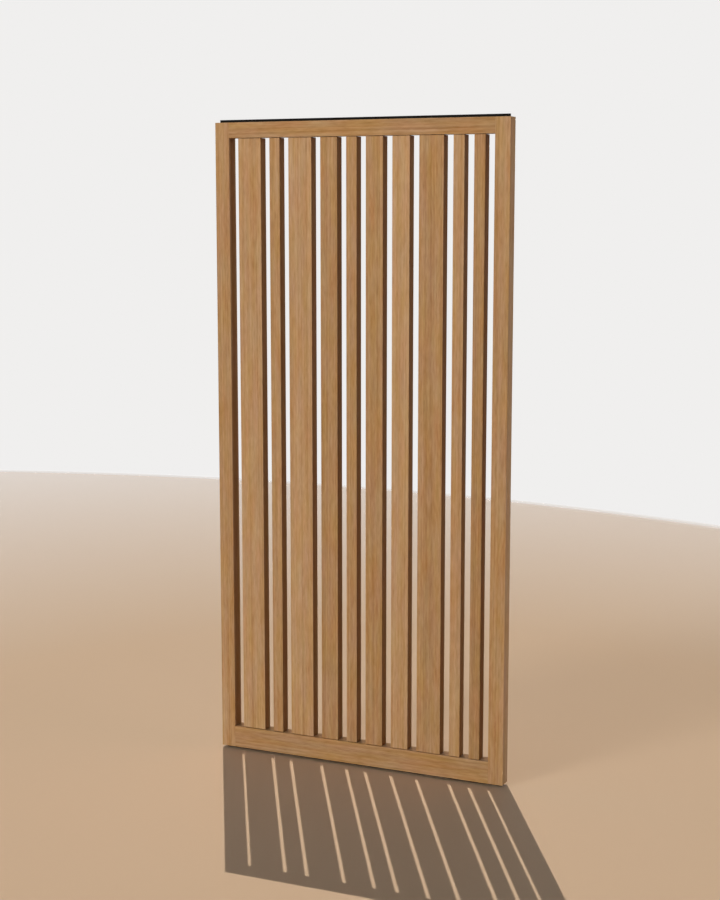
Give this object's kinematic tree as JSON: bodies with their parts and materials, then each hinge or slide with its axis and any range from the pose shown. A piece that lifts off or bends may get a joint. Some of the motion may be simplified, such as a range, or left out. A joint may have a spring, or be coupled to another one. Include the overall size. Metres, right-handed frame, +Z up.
{
  "type": "rotating slat room divider",
  "caption": "Floor-to-ceiling oak room divider: an open frame of upright slats in mixed widths, each turning by itself on a pin at either end.",
  "frame": {"origin": "on the floor, at the foot of the floor strip, midway between the outer sides and between front and back", "axes": "+X along the panel to the right as pictured, +Y from the front to the back, +Z up"},
  "size_m": [1.12, 0.05, 2.335],
  "materials": {
    "oak": "oiled European oak, satin",
    "beech_dowel": "plain turned beech",
    "black_strip": "matt black powder coat on flat steel bar",
    "steel_pin": "ground bright steel rod",
    "nylon_bush": "black moulded nylon"
  },
  "bodies": {
    "frame": {"left_stile": "oak", "right_stile": "oak", "top_rail": "oak", "bottom_rail": "oak", "corner_dowels": "beech_dowel", "floor_strip": "black_strip", "ceiling_strip": "black_strip", "top_bushes": "nylon_bush", "bottom_bushes": "nylon_bush"},
    "slat_01": {"slat_01": "oak", "slat_01_top_pin": "steel_pin", "slat_01_bottom_pin": "steel_pin"},
    "slat_02": {"slat_02": "oak", "slat_02_top_pin": "steel_pin", "slat_02_bottom_pin": "steel_pin"},
    "slat_03": {"slat_03": "oak", "slat_03_top_pin": "steel_pin", "slat_03_bottom_pin": "steel_pin"},
    "slat_04": {"slat_04": "oak", "slat_04_top_pin": "steel_pin", "slat_04_bottom_pin": "steel_pin"},
    "slat_05": {"slat_05": "oak", "slat_05_top_pin": "steel_pin", "slat_05_bottom_pin": "steel_pin"},
    "slat_06": {"slat_06": "oak", "slat_06_top_pin": "steel_pin", "slat_06_bottom_pin": "steel_pin"},
    "slat_07": {"slat_07": "oak", "slat_07_top_pin": "steel_pin", "slat_07_bottom_pin": "steel_pin"},
    "slat_08": {"slat_08": "oak", "slat_08_top_pin": "steel_pin", "slat_08_bottom_pin": "steel_pin"},
    "slat_09": {"slat_09": "oak", "slat_09_top_pin": "steel_pin", "slat_09_bottom_pin": "steel_pin"},
    "slat_10": {"slat_10": "oak", "slat_10_top_pin": "steel_pin", "slat_10_bottom_pin": "steel_pin"}
  },
  "joints": [
    {"name": "slat_01_turn", "type": "hinge", "parent": "frame", "child": "slat_01", "pos_m": [-0.425, 0, 0.091], "axis": [0, 0, 1], "continuous": true},
    {"name": "slat_02_turn", "type": "hinge", "parent": "frame", "child": "slat_02", "pos_m": [-0.325, 0, 0.091], "axis": [0, 0, 1], "continuous": true},
    {"name": "slat_03_turn", "type": "hinge", "parent": "frame", "child": "slat_03", "pos_m": [-0.225, 0, 0.091], "axis": [0, 0, 1], "continuous": true},
    {"name": "slat_04_turn", "type": "hinge", "parent": "frame", "child": "slat_04", "pos_m": [-0.1125, 0, 0.091], "axis": [0, 0, 1], "continuous": true},
    {"name": "slat_05_turn", "type": "hinge", "parent": "frame", "child": "slat_05", "pos_m": [-0.025, 0, 0.091], "axis": [0, 0, 1], "continuous": true},
    {"name": "slat_06_turn", "type": "hinge", "parent": "frame", "child": "slat_06", "pos_m": [0.0625, 0, 0.091], "axis": [0, 0, 1], "continuous": true},
    {"name": "slat_07_turn", "type": "hinge", "parent": "frame", "child": "slat_07", "pos_m": [0.1625, 0, 0.091], "axis": [0, 0, 1], "continuous": true},
    {"name": "slat_08_turn", "type": "hinge", "parent": "frame", "child": "slat_08", "pos_m": [0.275, 0, 0.091], "axis": [0, 0, 1], "continuous": true},
    {"name": "slat_09_turn", "type": "hinge", "parent": "frame", "child": "slat_09", "pos_m": [0.375, 0, 0.091], "axis": [0, 0, 1], "continuous": true},
    {"name": "slat_10_turn", "type": "hinge", "parent": "frame", "child": "slat_10", "pos_m": [0.45, 0, 0.091], "axis": [0, 0, 1], "continuous": true}
  ]
}
